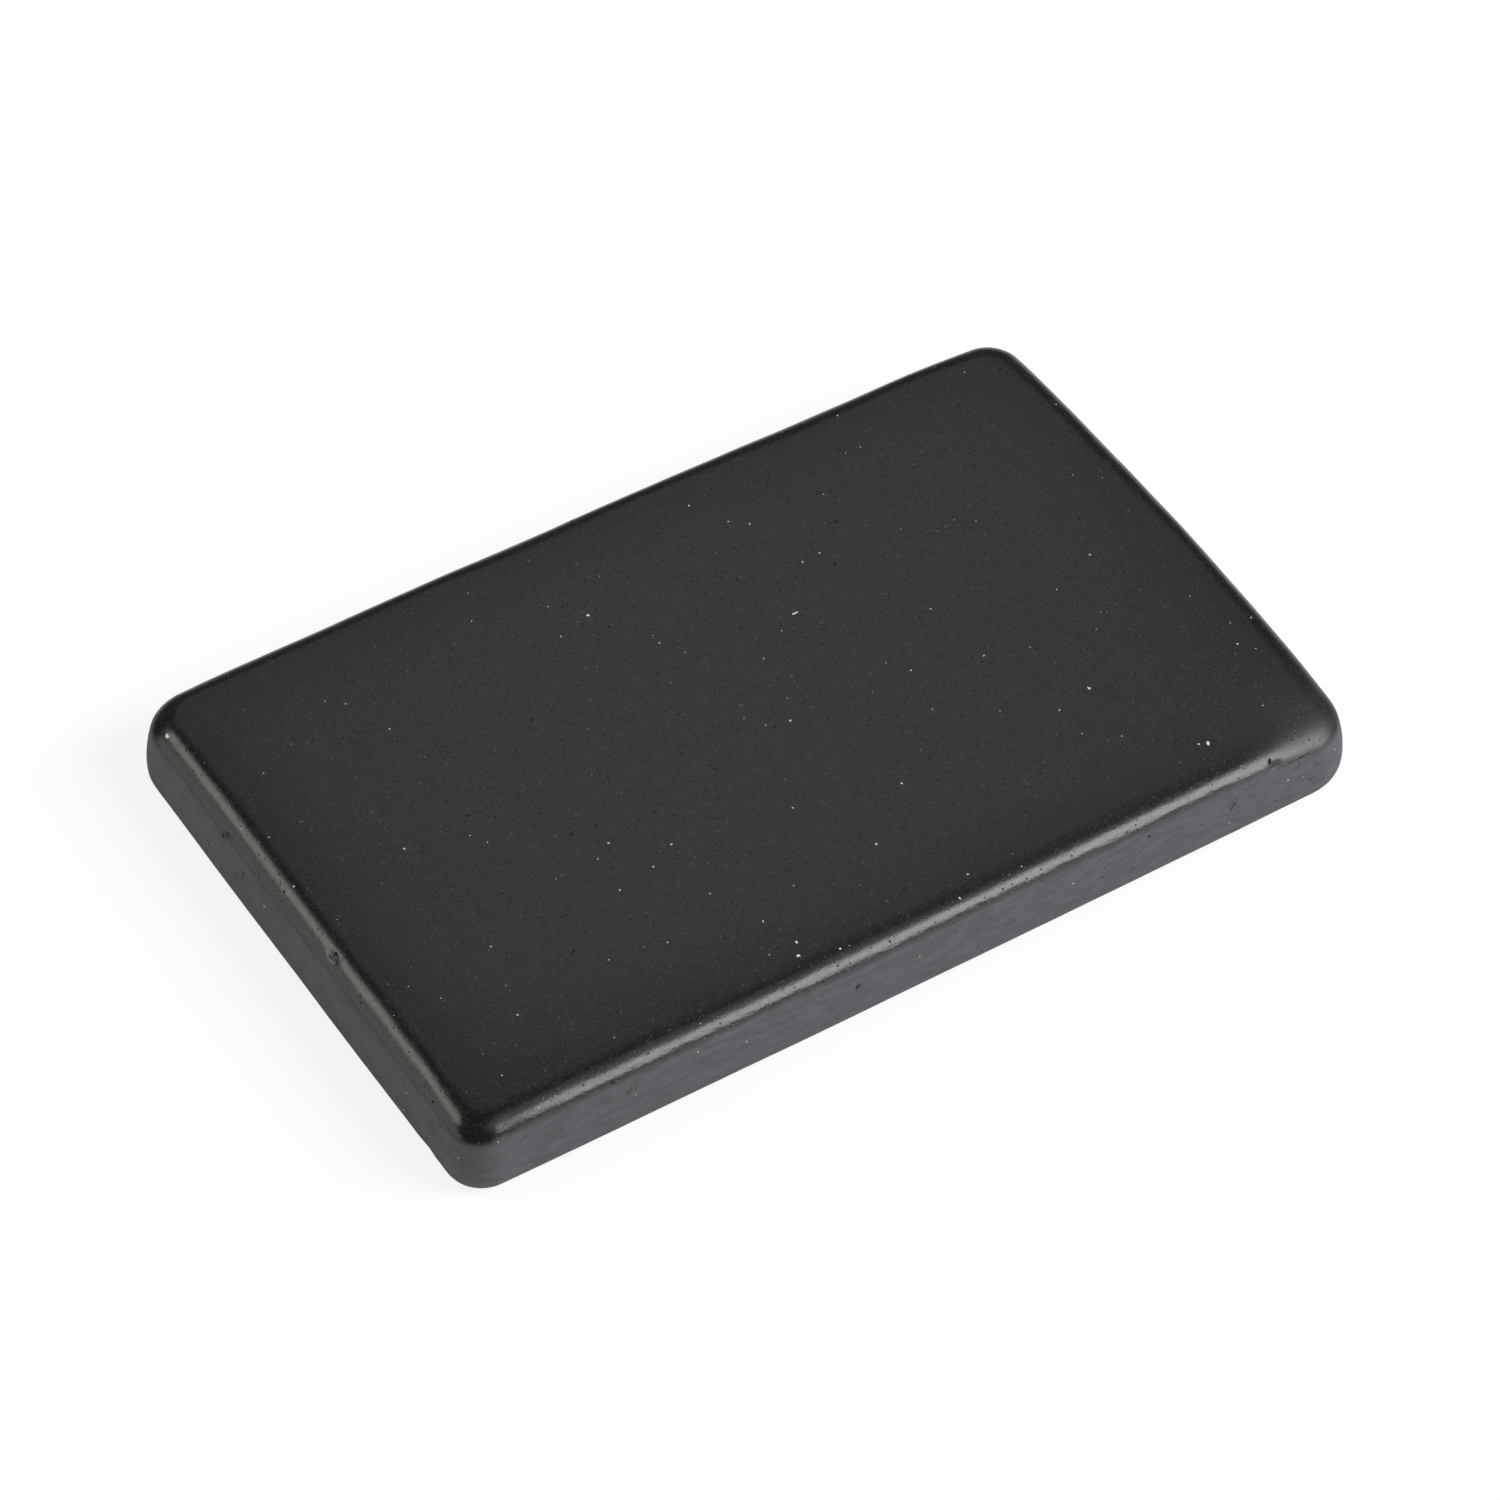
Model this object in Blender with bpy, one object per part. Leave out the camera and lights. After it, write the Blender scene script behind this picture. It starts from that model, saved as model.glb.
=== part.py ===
"""Flat basalt massage stone: a sawn tablet of stone with hand-eased edges, one closed solid.

+X runs along the stone, +Y across it and +Z up. The origin is at the bottom centre of its box.
The solid is a stack of closed rings. A ring is the stone's plan outline, drawn in from the sides
by an inset, at the height that the edge section has there.
"""

import math

import bmesh
import bpy

MM = 0.001

# Overall sizes. The width is the one across the middle of the length.
LENGTH = 110.0 * MM
WIDTH = 70.5 * MM
THICKNESS = 10.0 * MM

# Hand cutting: the -X end is this much wider than the middle, and the +X end this much narrower
END_TAPER = 0.35 * MM

# How far the middle of each side stands out beyond its ends
FRONT_BOW = 0.2 * MM
RIGHT_BOW = 0.6 * MM
BACK_BOW = 0.25 * MM
LEFT_BOW = 0.1 * MM

# Plan radius of each corner
FRONT_LEFT_RADIUS = 4.2 * MM
FRONT_RIGHT_RADIUS = 6.4 * MM
BACK_RIGHT_RADIUS = 4.4 * MM
BACK_LEFT_RADIUS = 6.2 * MM

# Upper edge: a quarter ellipse, this far in over the face and this far down the side
UPPER_EASE_IN = 3.8 * MM
UPPER_EASE_DOWN = 3.5 * MM

# Lower edge: a quarter circle
LOWER_EASE_RADIUS = 2.8 * MM

# Crown: the upper face falls by this much from its flat middle to each side, over this width
CROWN_FALL = 0.6 * MM
CROWN_WIDTH = 18.0 * MM

# Steps along each curve
CORNER_STEPS = 10
SIDE_STEPS = 6
UPPER_EASE_STEPS = 8
LOWER_EASE_STEPS = 6
CROWN_STEPS = 4

# Honed black basalt
BASALT_COLOUR = (0.018, 0.018, 0.019, 1.0)
BASALT_ROUGHNESS = 0.45
BASALT_METALLIC = 0.0


def clear_scene():
    """Remove every object that the scene starts with."""
    for thing in list(bpy.data.objects):
        bpy.data.objects.remove(thing, do_unlink=True)


def corner_circles(inset):
    """Centre and radius of the four corner arcs, counter-clockwise from the front left one.

    A radius shrinks with the inset, as that of a parallel outline does, but never to nothing.
    """
    left = -LENGTH / 2 + LEFT_BOW + inset
    right = LENGTH / 2 - RIGHT_BOW - inset
    left_half = (WIDTH + END_TAPER) / 2 - inset
    right_half = (WIDTH - END_TAPER) / 2 - inset
    corners = (
        (left, FRONT_BOW - left_half, 1, 1, FRONT_LEFT_RADIUS),
        (right, FRONT_BOW - right_half, -1, 1, FRONT_RIGHT_RADIUS),
        (right, right_half - BACK_BOW, -1, -1, BACK_RIGHT_RADIUS),
        (left, left_half - BACK_BOW, 1, -1, BACK_LEFT_RADIUS),
    )
    circles = []
    for x, y, inward_x, inward_y, full_radius in corners:
        radius = full_radius * math.exp(-inset / full_radius)
        circles.append((x + inward_x * radius, y + inward_y * radius, radius))
    return circles


def side_circle(start, end, bow):
    """Centre and radius of the wide arc that two corner arcs run into smoothly.

    It bows out by the given height between them. start and end are corner circles.
    """
    span_x = end[0] - start[0]
    span_y = end[1] - start[1]
    span = math.hypot(span_x, span_y)
    radius = span * span / (8 * bow) + (bow + start[2] + end[2]) / 2
    reach_start = radius - start[2]
    reach_end = radius - end[2]
    along = (reach_start**2 - reach_end**2 + span * span) / (2 * span)
    across = math.sqrt(reach_start**2 - along**2)
    centre_x = start[0] + (span_x * along - span_y * across) / span
    centre_y = start[1] + (span_y * along + span_x * across) / span
    return centre_x, centre_y, radius


def direction(circle, other):
    """Angle of the outline where two arcs meet, one of them the other's wider neighbour."""
    return math.atan2(other[1] - circle[1], other[0] - circle[0])


def arc_points(circle, start_angle, end_angle, steps):
    """Points on a circle from start_angle, counter-clockwise, up to but without end_angle."""
    sweep = (end_angle - start_angle) % math.tau
    points = []
    for step in range(steps):
        angle = start_angle + sweep * step / steps
        points.append((circle[0] + circle[2] * math.cos(angle), circle[1] + circle[2] * math.sin(angle)))
    return points


def plan_outline(inset):
    """Points of the plan outline, drawn in by inset: four corner arcs and four side arcs."""
    corners = corner_circles(inset)
    bows = (FRONT_BOW, RIGHT_BOW, BACK_BOW, LEFT_BOW)
    sides = [side_circle(corners[i], corners[(i + 1) % 4], bows[i]) for i in range(4)]
    points = []
    for i in range(4):
        before = direction(sides[i - 1], corners[i])
        after = direction(sides[i], corners[i])
        following = direction(sides[i], corners[(i + 1) % 4])
        points += arc_points(corners[i], before, after, CORNER_STEPS)
        points += arc_points(sides[i], after, following, SIDE_STEPS)
    return points


def crown_drop(gap):
    """How far the upper face has fallen this far in from a side: a cubic, flat in the middle."""
    return CROWN_FALL * max(0.0, 1 - gap / CROWN_WIDTH) ** 3


def crowned_height(x, y):
    """Height of the upper face, which falls towards the ends and towards the long sides."""
    return THICKNESS - crown_drop(LENGTH / 2 - abs(x)) - crown_drop(WIDTH / 2 - abs(y))


def lower_section():
    """Inset and height of each ring below the side, from the flat underside up and out."""
    section = []
    for step in range(LOWER_EASE_STEPS + 1):
        angle = math.pi / 2 * step / LOWER_EASE_STEPS
        inset = LOWER_EASE_RADIUS * (1 - math.sin(angle))
        section.append((inset, LOWER_EASE_RADIUS * (1 - math.cos(angle))))
    return section


def upper_section():
    """Inset of each ring above the side and its depth below the crowned face, up and in."""
    section = []
    for step in range(UPPER_EASE_STEPS + 1):
        angle = math.pi / 2 * step / UPPER_EASE_STEPS
        inset = UPPER_EASE_IN * (1 - math.cos(angle))
        section.append((inset, UPPER_EASE_DOWN * (1 - math.sin(angle))))
    for step in range(1, CROWN_STEPS + 1):
        section.append((UPPER_EASE_IN + (CROWN_WIDTH - UPPER_EASE_IN) * step / CROWN_STEPS, 0.0))
    return section


def basalt_material():
    """Dense black basalt, ground and honed to a low sheen."""
    material = bpy.data.materials.new("basalt")
    material.use_nodes = True
    shader = material.node_tree.nodes["Principled BSDF"]
    shader.inputs["Base Color"].default_value = BASALT_COLOUR
    shader.inputs["Roughness"].default_value = BASALT_ROUGHNESS
    shader.inputs["Metallic"].default_value = BASALT_METALLIC
    return material


def box_centre(points):
    """Middle of the box that the outline's points fill."""
    across = [x for x, _ in points]
    along = [y for _, y in points]
    return (min(across) + max(across)) / 2, (min(along) + max(along)) / 2


def centred_outline(inset):
    """The plan outline at this inset, moved so that the full outline's box is centred."""
    centre_x, centre_y = box_centre(plan_outline(0.0))
    return [(x - centre_x, y - centre_y) for x, y in plan_outline(inset)]


def add_ring(mesh, points):
    """Add one closed loop through the points and return its edges."""
    verts = [mesh.verts.new(point) for point in points]
    return [mesh.edges.new((verts[i - 1], verts[i])) for i in range(len(verts))]


def ring_points():
    """Points of every ring, from the underside to the rim of the flat top."""
    rings = []
    for inset, height in lower_section():
        rings.append([(x, y, height) for x, y in centred_outline(inset)])
    for inset, depth in upper_section():
        outline = centred_outline(inset)
        rings.append([(x, y, crowned_height(x, y) - depth) for x, y in outline])
    return rings


def massage_stone():
    """The stone: rings bridged from the underside to the top, and closed by a flat face at each."""
    mesh = bmesh.new()
    rings = [add_ring(mesh, points) for points in ring_points()]
    for lower, upper in zip(rings, rings[1:]):
        bmesh.ops.bridge_loops(mesh, edges=lower + upper)
    bmesh.ops.contextual_create(mesh, geom=rings[0])
    bmesh.ops.contextual_create(mesh, geom=rings[-1])
    bmesh.ops.recalc_face_normals(mesh, faces=mesh.faces)
    data = bpy.data.meshes.new("massage_stone")
    mesh.to_mesh(data)
    mesh.free()
    data.materials.append(basalt_material())
    data.shade_smooth()
    stone = bpy.data.objects.new("massage_stone", data)
    bpy.context.scene.collection.objects.link(stone)
    return stone


clear_scene()
massage_stone()
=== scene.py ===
"""Looks of a flat basalt massage stone: the honed stone, the studio round it and the camera.

The stone is one closed surface worked out on grids. Lengths are in metres, and +X runs along the
stone, +Y across it and +Z up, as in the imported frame.
"""

from __future__ import annotations

import logging
import math
from dataclasses import dataclass, field
from enum import Enum

import bpy
import numpy as np
from mathutils import Matrix, Vector


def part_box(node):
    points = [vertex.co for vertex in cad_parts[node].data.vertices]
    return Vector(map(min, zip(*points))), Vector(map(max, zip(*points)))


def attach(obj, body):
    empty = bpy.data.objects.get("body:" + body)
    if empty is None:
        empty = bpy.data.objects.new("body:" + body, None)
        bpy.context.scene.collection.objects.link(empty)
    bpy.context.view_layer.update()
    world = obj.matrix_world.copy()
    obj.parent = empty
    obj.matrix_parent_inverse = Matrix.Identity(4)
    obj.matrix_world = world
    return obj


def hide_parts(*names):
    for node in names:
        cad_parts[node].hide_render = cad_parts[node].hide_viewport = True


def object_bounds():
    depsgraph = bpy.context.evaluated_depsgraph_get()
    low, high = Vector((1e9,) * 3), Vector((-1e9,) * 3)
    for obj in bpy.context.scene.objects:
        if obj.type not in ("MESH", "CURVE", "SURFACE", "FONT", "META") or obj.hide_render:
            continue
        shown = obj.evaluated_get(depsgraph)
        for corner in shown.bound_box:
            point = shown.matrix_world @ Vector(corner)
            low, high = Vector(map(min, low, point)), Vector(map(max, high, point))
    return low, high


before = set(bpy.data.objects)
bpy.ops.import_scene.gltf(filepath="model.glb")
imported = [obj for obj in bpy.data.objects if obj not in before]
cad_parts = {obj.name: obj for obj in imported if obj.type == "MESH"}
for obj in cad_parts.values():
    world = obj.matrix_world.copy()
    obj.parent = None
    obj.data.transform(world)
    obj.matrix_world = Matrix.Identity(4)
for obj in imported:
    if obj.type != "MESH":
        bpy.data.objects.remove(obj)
CAD_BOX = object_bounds()

MM = 0.001
# The stone's length and thickness, to a tenth of a millimetre.
LENGTH, THICKNESS = (round(CAD_BOX[1][axis] - CAD_BOX[0][axis], 4) for axis in (0, 2))
NODE = "massage_stone"
SMOOTH = {"interpolation_type": "SMOOTHSTEP"}
BLEND = {"data_type": "RGBA"}

log = logging.getLogger("massage_stone")

# A node's input takes an output socket, a number, or a colour or vector.
Tree = bpy.types.NodeTree
Socket = bpy.types.NodeSocket
Feed = Socket | float | tuple[float, ...]
Feeds = dict[str | int, Feed] | list[Feed]
Place = tuple[float, float, float]
Span = tuple[float, float]


def linear(hex_colour: str) -> tuple[float, float, float, float]:
    """Turn an sRGB hex colour into linear light.

    Args:
        hex_colour: Six hex digits, such as "1c1c1d".

    Returns:
        Linear red, green and blue, and an alpha of one.
    """
    channels = [int(hex_colour[i : i + 2], 16) / 255 for i in (0, 2, 4)]
    light = [c / 12.92 if c <= 0.04045 else ((c + 0.055) / 1.055) ** 2.4 for c in channels]
    return light[0], light[1], light[2], 1.0


def add_node(
    tree: Tree, kind: str, feeds: Feeds, output: str | int = 0, **settings: str | bool
) -> Socket:
    """Add a node with its settings, its inputs' values and its incoming links.

    Args:
        tree: The node tree that gets the node.
        kind: The node's Blender type after "ShaderNode", such as "Math".
        feeds: What the inputs take, in order or by name or number.
        output: Name or number of the output that is wanted.
        settings: Properties of the node itself, such as operation="MULTIPLY".

    Returns:
        The output's socket, whose node attribute is the new node.
    """
    node = tree.nodes.new(f"ShaderNode{kind}")
    for name, value in settings.items():
        setattr(node, name, value)
    for name, value in feeds.items() if isinstance(feeds, dict) else enumerate(feeds):
        if isinstance(value, Socket):
            tree.links.new(value, node.inputs[name])
        else:
            node.inputs[name].default_value = value
    return node.outputs[output]


def plane_waves(points: np.ndarray, wavelength: float, count: int, rng: np.random.Generator) -> np.ndarray:
    """Smooth random relief: the mean of sine waves that run in random directions.

    Each wave is sin(k . p + phase), with k of length tau / wavelength, give or take a third.

    Args:
        points: Places as an array that ends in x, y and z.
        wavelength: Typical distance between crests.
        count: How many waves are added.
        rng: Seeded source of the directions and phases.

    Returns:
        The relief at each point, with a spread of about one.
    """
    directions = rng.normal(size=(count, 3))
    directions /= np.linalg.norm(directions, axis=1, keepdims=True)
    lengths = wavelength * rng.uniform(0.67, 1.5, size=(count, 1))
    phases = rng.uniform(0, math.tau, size=count)
    return np.sin(points @ (directions * math.tau / lengths).T + phases).sum(axis=-1) * math.sqrt(2 / count)


class Side(Enum):
    """The sides of the stone, in the order that the outline runs round them."""

    FRONT = 0
    RIGHT = 1
    BACK = 2
    LEFT = 3


@dataclass(frozen=True)
class Corner:
    """A plan corner: where it lies from the middle, how round it is and how worn its upper edge is."""

    sign_x: int
    sign_y: int
    radius: float
    wear: float


@dataclass(frozen=True)
class PlanOutline:
    """The stone's outline from above: four corner arcs, run smoothly into four wide side arcs.

    The width is that at mid-length. The left end is wider than it by the taper, the right end narrower.
    """

    length: float = LENGTH
    width: float = 70.5 * MM
    taper: float = 0.35 * MM
    bows: tuple[float, float, float, float] = (0.2 * MM, 0.6 * MM, 0.25 * MM, 0.1 * MM)
    corners: tuple[Corner, Corner, Corner, Corner] = (
        Corner(-1, -1, 4.2 * MM, 0.0),
        Corner(1, -1, 6.4 * MM, 0.9),
        Corner(1, 1, 4.4 * MM, 0.1),
        Corner(-1, 1, 6.2 * MM, 0.1),
    )

    def circle(self, index: int, inset: np.ndarray) -> tuple[np.ndarray, np.ndarray]:
        """Centre and radius of a corner arc. The radius is r exp(-inset / r), so it never ends.

        Args:
            index: Which corner, as in corners.
            inset: How far the outline is drawn in.

        Returns:
            Centres, as an array that ends in x and y, and radii.
        """
        corner = self.corners[index]
        side_x = Side.LEFT if corner.sign_x < 0 else Side.RIGHT
        side_y = Side.FRONT if corner.sign_y < 0 else Side.BACK
        radius = corner.radius * np.exp(-inset / corner.radius)
        half_x = self.length / 2 - self.bows[side_x.value] - inset - radius
        half_y = (self.width - corner.sign_x * self.taper) / 2 - self.bows[side_y.value] - inset - radius
        return np.stack([corner.sign_x * half_x, corner.sign_y * half_y], axis=-1), radius

    def side_arc(self, side: Side, inset: np.ndarray) -> tuple[np.ndarray, ...]:
        """The wide arc of one side, which touches both its corner arcs from outside.

        Its radius is span^2 / 8 bow, plus half the bow and half of both corner radii.

        Args:
            side: Which side.
            inset: How far the outline is drawn in.

        Returns:
            The arc's centre, its radius, and the angles where it starts and ends.
        """
        start, start_radius = self.circle(side.value, inset)
        end, end_radius = self.circle((side.value + 1) % 4, inset)
        bow = self.bows[side.value]
        run = end - start
        span = np.linalg.norm(run, axis=-1)
        radius = span**2 / (8 * bow) + (bow + start_radius + end_radius) / 2
        reach = radius - start_radius
        along = (reach**2 - (radius - end_radius) ** 2 + span**2) / (2 * span)
        across = np.sqrt(reach**2 - along**2)
        unit = run / span[..., None]
        normal = np.stack([-unit[..., 1], unit[..., 0]], axis=-1)
        centre = start + unit * along[..., None] + normal * across[..., None]
        spokes = (start - centre, end - centre)
        first, last = (np.arctan2(spoke[..., 1], spoke[..., 0]) for spoke in spokes)
        return centre, radius, first, last

    def quarter(self, side: Side, share: np.ndarray, inset: np.ndarray) -> np.ndarray:
        """Points from the middle of one corner, along a side, to the middle of the next corner.

        The path is half a corner arc, the side arc and half a corner arc, and share is the part of
        its whole length that lies behind a point.

        Args:
            side: Which side.
            share: From 0 at the first corner's middle to 1 at the second's.
            inset: How far the outline is drawn in at each point, shaped as share is.

        Returns:
            The points, as an array that ends in x and y.
        """
        before = Side((side.value - 1) % 4)
        after = Side((side.value + 1) % 4)
        start, start_radius = self.circle(side.value, inset)
        end, end_radius = self.circle(after.value, inset)
        centre, radius, angle_in, angle_out = self.side_arc(side, inset)
        angle_before = self.side_arc(before, inset)[3]
        angle_after = self.side_arc(after, inset)[2]
        half_first = (angle_in - angle_before) % math.tau / 2
        half_last = (angle_after - angle_out) % math.tau / 2
        sweep = (angle_out - angle_in) % math.tau
        first = half_first * start_radius
        middle = sweep * radius
        last = half_last * end_radius
        run = share * (first + middle + last)
        on_first = run < first
        on_last = run > first + middle
        angle = angle_in + np.clip(run - first, 0, middle) / radius
        angle = np.where(on_first, angle_in - half_first + run / start_radius, angle)
        angle = np.where(on_last, angle_out + (run - first - middle) / end_radius, angle)
        hub = np.where(on_first[..., None], start, np.where(on_last[..., None], end, centre))
        reach = np.where(on_first, start_radius, np.where(on_last, end_radius, radius))
        return hub + reach[..., None] * np.stack([np.cos(angle), np.sin(angle)], axis=-1)


@dataclass(frozen=True)
class EdgeSection:
    """How the stone's edge runs from its crowned upper face, over a soft brow, down the side and under.

    The bends are pairs of the surface's tilt in degrees and the radius that it bends with there.
    """

    thickness: float = THICKNESS
    bends: tuple[Span, ...] = (
        (0.0, 16.5 * MM),
        (12.0, 16.5 * MM),
        (17.0, 1.5 * MM),
        (34.0, 1.5 * MM),
        (44.0, 3.6 * MM),
        (90.0, 3.8 * MM),
    )
    brow: float = 15.0
    lower_radius: float = 2.8 * MM
    crown_fall: float = 0.6 * MM
    crown_width: float = 18.0 * MM
    grow: float = 0.8
    steps: int = 900

    def crowned_height(self, plan: np.ndarray, half: Span) -> np.ndarray:
        """Height of the upper face: thickness - c(half x - |x|) - c(half y - |y|).

        The fall c(gap) is a cubic, fall (1 - gap / width)^3, that leaves the middle flat.

        Args:
            plan: Places as an array whose last axis starts with x and y.
            half: Half the length and half the width.

        Returns:
            The height at each place.
        """
        gap = np.array(half) - np.abs(plan[..., :2])
        fall = self.crown_fall * np.clip(1 - gap / self.crown_width, 0, None) ** 3
        return self.thickness - fall.sum(axis=-1)

    def upper(self, count: int, wear: np.ndarray) -> tuple[np.ndarray, np.ndarray]:
        """The upper edge and side: tilt a falls from 90 degrees to 0, over arc steps radius(a) da.

        The run outwards is the sum of the steps times sin a, the depth that of the steps times cos a.
        Above the brow, wear widens the run and, by half as much, the depth; the side takes up the rest.

        Args:
            count: How many points run down it, spaced half by length and half by tilt.
            wear: How worn the edge is at each place round the stone, from 0 to 1.

        Returns:
            Inset, and depth below the crowned face, as points by places.
        """
        tilts, radii = np.array(self.bends).T
        tilt = np.linspace(90, 0, self.steps + 1)
        step = np.interp(tilt, tilts, radii) * math.radians(90 / self.steps)
        turned = np.radians(tilt)
        parts = (step * np.sin(turned), step * np.cos(turned), step)
        out, down, run = (np.cumsum(part) - part[0] for part in parts)
        spacing = (run / run[-1] + 1 - tilt / 90) / 2
        at = np.linspace(0, 1, count)
        brow_out, brow_down = (np.interp(90 - self.brow, 90 - tilt, part) for part in (out, down))
        out_at, down_at = (np.interp(at, spacing, part)[:, None] for part in (out, down))
        wide = 1 + self.grow * wear
        deep = (1 + self.grow * wear / 2) * np.minimum(down_at, brow_down)
        brow_deep = (1 + self.grow * wear / 2) * brow_down
        rest = (down[-1] - brow_deep) / (down[-1] - brow_down)
        inset = wide * (brow_out - np.minimum(out_at, brow_out)) + out[-1] - np.maximum(out_at, brow_out)
        return inset, deep + rest * np.maximum(down_at - brow_down, 0)

    def lower(self, turn: np.ndarray) -> tuple[np.ndarray, np.ndarray]:
        """The lower edge, a quarter circle: inset and height, from the underside to the side."""
        return self.lower_radius * (1 - np.sin(turn)), self.lower_radius * (1 - np.cos(turn))


@dataclass(frozen=True)
class Nick:
    """A small hollow knocked into the surface: a bell-shaped dip, longer one way than the other."""

    centre: Place
    along: Place
    length: float
    breadth: float
    depth: float

    def dip(self, points: np.ndarray) -> np.ndarray:
        """Depth at each point: depth exp(-(a / length)^2 - (b / breadth)^2), with a measured along it.

        Both a and b are measured from the point that lies nearest to the nick's centre.

        Args:
            points: Places as an array that ends in x, y and z.

        Returns:
            How far in the surface lies at each point.
        """
        axis = np.array(self.along) / np.linalg.norm(self.along)
        nearest = np.argmin(np.linalg.norm(points - np.array(self.centre), axis=-1))
        away = points - points[nearest]
        run = away @ axis
        off = np.linalg.norm(away - run[..., None] * axis, axis=-1)
        return self.depth * np.exp(-((run / self.length) ** 2) - (off / self.breadth) ** 2)


class Layer(Enum):
    """Point attributes that the stone's mesh hands to its material."""

    STEEPNESS = "steepness"
    KNOCK = "knock"
    WORN = "worn"


@dataclass(frozen=True)
class Spots:
    """Round spots strewn through the rock: one to a cell, in some of the cells, of random size."""

    cell: float
    smallest: float
    largest: float
    chance: float
    softness: float = 0.5

    def mask(self, tree: Tree, place: Socket) -> Socket:
        """Add the spots' nodes: (radius - distance to the cell's centre) / (softness x radius), clamped.

        Args:
            tree: The node tree.
            place: Coordinates in metres.

        Returns:
            A socket that is 1 inside a spot and 0 outside.
        """
        cells = add_node(tree, "TexVoronoi", {"Vector": place, "Scale": 1 / self.cell}).node
        lot = add_node(tree, "SeparateColor", [cells.outputs["Color"]]).node
        chosen = add_node(tree, "Math", [lot.outputs[0], self.chance], operation="LESS_THAN")
        spread = (self.largest - self.smallest) / self.cell
        sizes = [lot.outputs[1], spread, self.smallest / self.cell]
        radius = add_node(tree, "Math", sizes, operation="MULTIPLY_ADD")
        inside = add_node(tree, "Math", [cells.outputs["Distance"], radius], operation="DIVIDE")
        edge = add_node(tree, "MapRange", [inside, 1.0, 1.0 - self.softness, 0.0, 1.0], **SMOOTH)
        return add_node(tree, "Math", [edge, chosen], operation="MULTIPLY")


@dataclass(frozen=True)
class Fleck:
    """One longish mark in the surface at a known place: a pale crystal drawn bright as a painted glint, or
    a dark hollow or line drawn as painted shade.
    """

    centre: Place
    along: Place
    length: float
    breadth: float

    def mask(self, tree: Tree, place: Socket) -> Socket:
        """Add the fleck's nodes, with q = (a / half length)^2 + (b / half breadth)^2, and a along it.

        Args:
            tree: The node tree.
            place: Coordinates in metres.

        Returns:
            A socket that is 1 where q is up to a half, and fades to 0 where q comes to 1.
        """
        length, breadth = self.length / 2, self.breadth / 2
        axis = tuple(Vector(self.along).normalized())
        away = add_node(tree, "VectorMath", [place, self.centre], operation="SUBTRACT")
        run = add_node(tree, "VectorMath", [away, axis], "Value", operation="DOT_PRODUCT")
        gap = add_node(tree, "VectorMath", [away], "Value", operation="LENGTH")
        run_squared = add_node(tree, "Math", [run, 2.0], operation="POWER")
        gap_squared = add_node(tree, "Math", [gap, 2.0], operation="POWER")
        broad = add_node(tree, "Math", [gap_squared, breadth**-2], operation="MULTIPLY")
        terms = [run_squared, length**-2 - breadth**-2, broad]
        q = add_node(tree, "Math", terms, operation="MULTIPLY_ADD")
        return add_node(tree, "MapRange", [q, 1.0, 0.5, 0.0, 1.0], **SMOOTH)


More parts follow.
